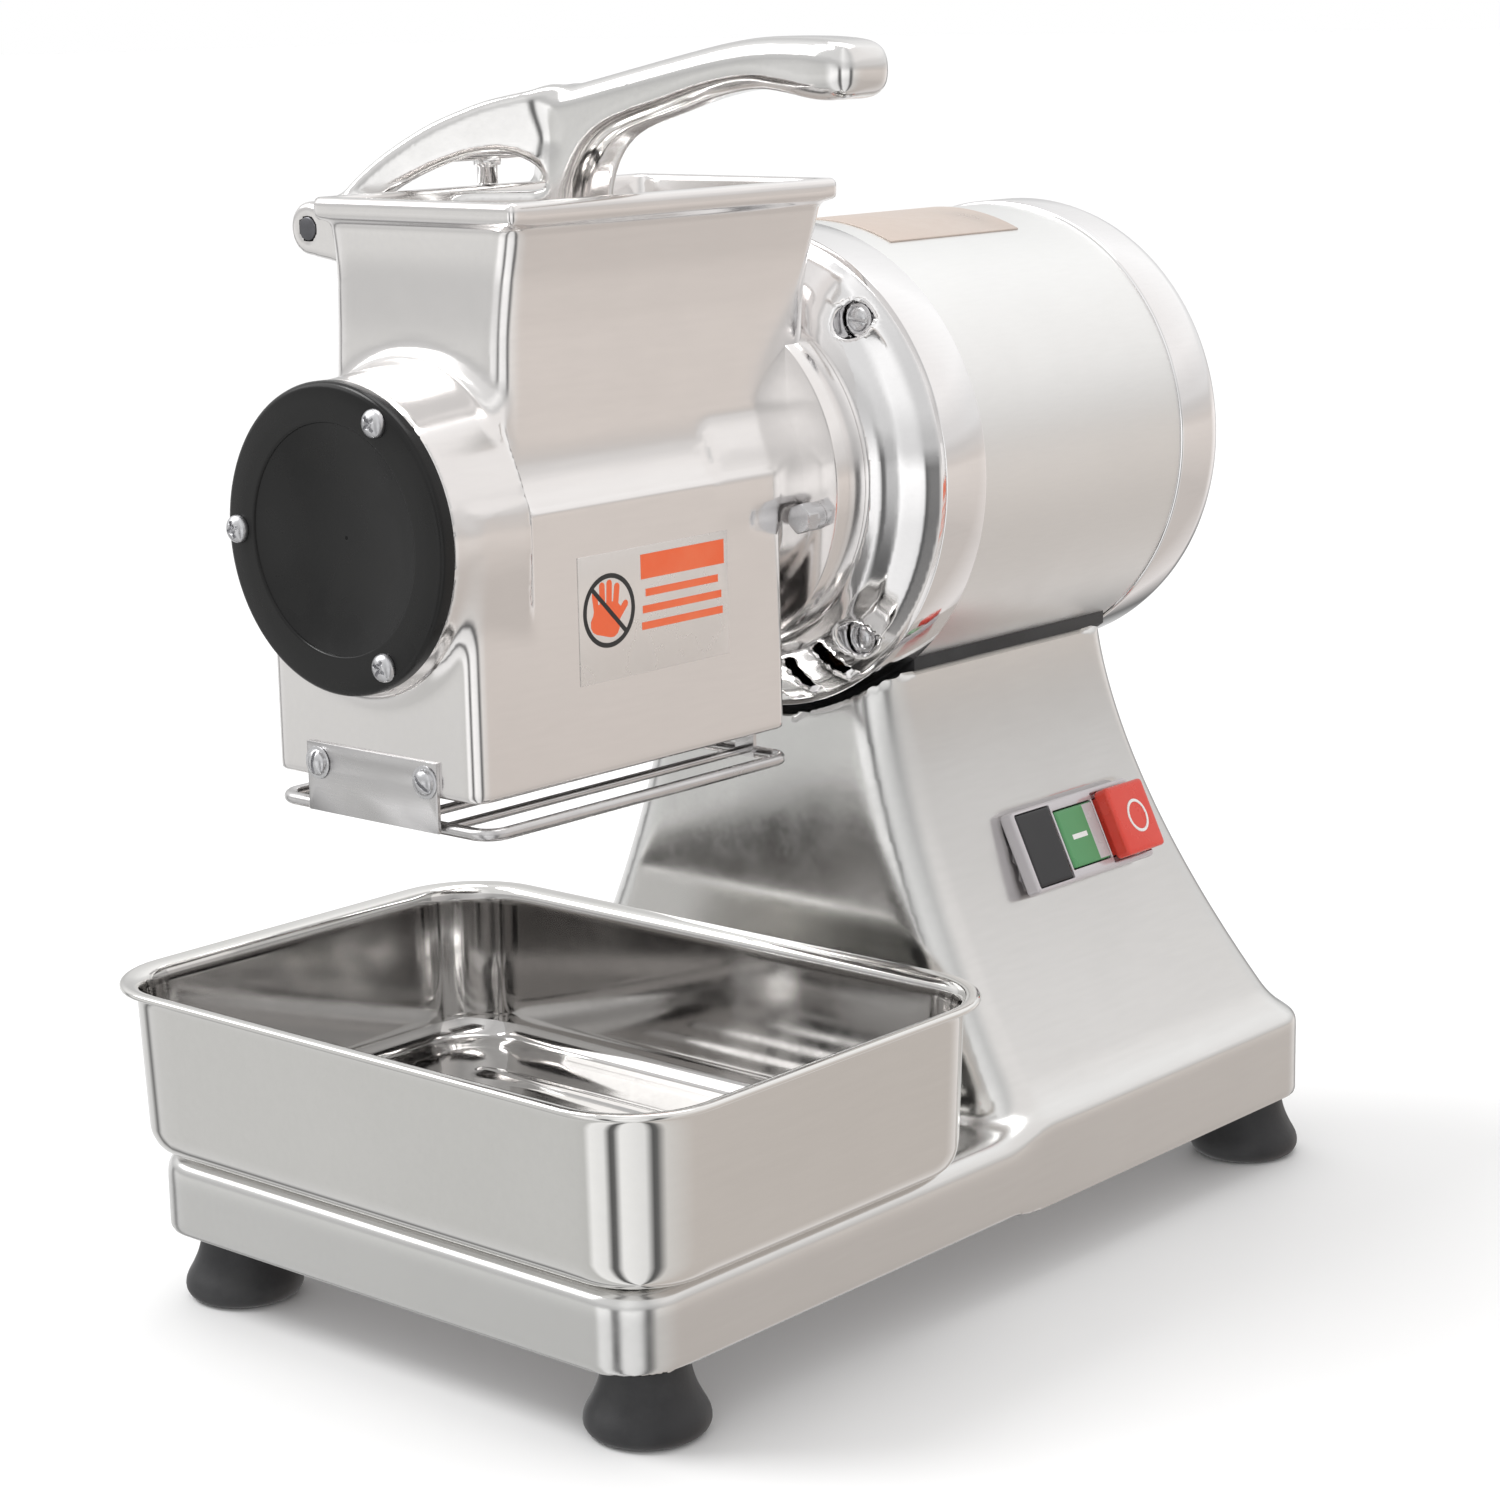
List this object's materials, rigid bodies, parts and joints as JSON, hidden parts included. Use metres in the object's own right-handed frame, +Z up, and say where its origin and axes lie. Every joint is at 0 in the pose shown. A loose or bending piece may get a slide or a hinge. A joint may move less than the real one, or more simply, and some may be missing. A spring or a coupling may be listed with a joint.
{
  "type": "electric shaved ice machine",
  "caption": "Bench-top cast aluminium shaving machine: lever-fed hopper over a motor-driven toothed drum, wire guard, collecting tray and start and stop buttons.",
  "frame": {"origin": "middle of the bounding box's footprint, at floor height", "axes": "+Z up; -Y is the front, where the drum cover and the tray are; +X is the side that carries the switch; the motor points to +Y"},
  "size_m": [0.2548, 0.401, 0.4155],
  "materials": {
    "polished_aluminium": "polished casting",
    "satin_aluminium": "satin",
    "steel_sheet": "satin",
    "rubber": "matt",
    "plated_steel": "bright plating",
    "black_plastic": "satin",
    "green_plastic": "satin",
    "red_plastic": "satin",
    "grey_plastic": "matt",
    "laminations": "matt",
    "copper_wire": "enamelled",
    "plate_film": "satin",
    "label_film": "satin",
    "stainless_steel": "mirror polished"
  },
  "bodies": {
    "machine": {"base_casting": "polished_aluminium", "bottom_cover": "steel_sheet", "foot_front_left": "rubber", "foot_front_right": "rubber", "foot_rear_left": "rubber", "foot_rear_right": "rubber", "foot_screws": "plated_steel", "cable_gland": "black_plastic", "switch_bezel": "black_plastic", "switch_block": "black_plastic", "contactor": "black_plastic", "capacitor": "satin_aluminium", "terminal_block": "grey_plastic", "motor_gasket": "rubber", "motor_flange": "polished_aluminium", "flange_screws": "plated_steel", "motor_shell": "satin_aluminium", "saddle_bolts": "plated_steel", "stator_core": "laminations", "windings": "copper_wire", "front_bearing": "plated_steel", "rear_bearing": "plated_steel", "rear_shield": "satin_aluminium", "rear_cap": "polished_aluminium", "data_plate": "plate_film", "head_casting": "polished_aluminium", "head_bolts": "plated_steel", "shaft_seal": "rubber", "front_cover": "black_plastic", "cover_screws": "plated_steel", "guard_bracket": "stainless_steel", "guard_screws": "plated_steel", "wire_guard": "stainless_steel", "hinge_pin": "plated_steel", "safety_label": "label_film"},
    "lever": {"lever": "polished_aluminium", "stop_stud": "plated_steel", "press_plate": "stainless_steel"},
    "drum": {"drum": "stainless_steel", "drum_nut": "plated_steel", "motor_shaft": "plated_steel", "rotor": "laminations", "fan": "black_plastic"},
    "tray": {"tray": "stainless_steel"},
    "start_button": {"start_button": "green_plastic"},
    "stop_button": {"stop_button": "red_plastic"}
  },
  "joints": [
    {"name": "lever_hinge", "type": "hinge", "parent": "machine", "child": "lever", "pos_m": [-0.0605, -0.0811, 0.358], "axis": [0, -1, 0], "range_deg": [0, 100]},
    {"name": "drum_spin", "type": "hinge", "parent": "machine", "child": "drum", "pos_m": [0, 0, 0.27], "axis": [0, 1, 0], "continuous": true},
    {"name": "tray_slide", "type": "slide", "parent": "machine", "child": "tray", "axis": [0, -1, 0], "range_m": [0, 0.25]},
    {"name": "start_push", "type": "slide", "parent": "machine", "child": "start_button", "axis": [-0.8988, 0, -0.4384], "range_m": [0, 0.003], "stiffness_N_per_m": 500, "springref_m": -0.002},
    {"name": "stop_push", "type": "slide", "parent": "machine", "child": "stop_button", "axis": [-0.8988, 0, -0.4384], "range_m": [0, 0.003], "stiffness_N_per_m": 500, "springref_m": -0.002}
  ]
}
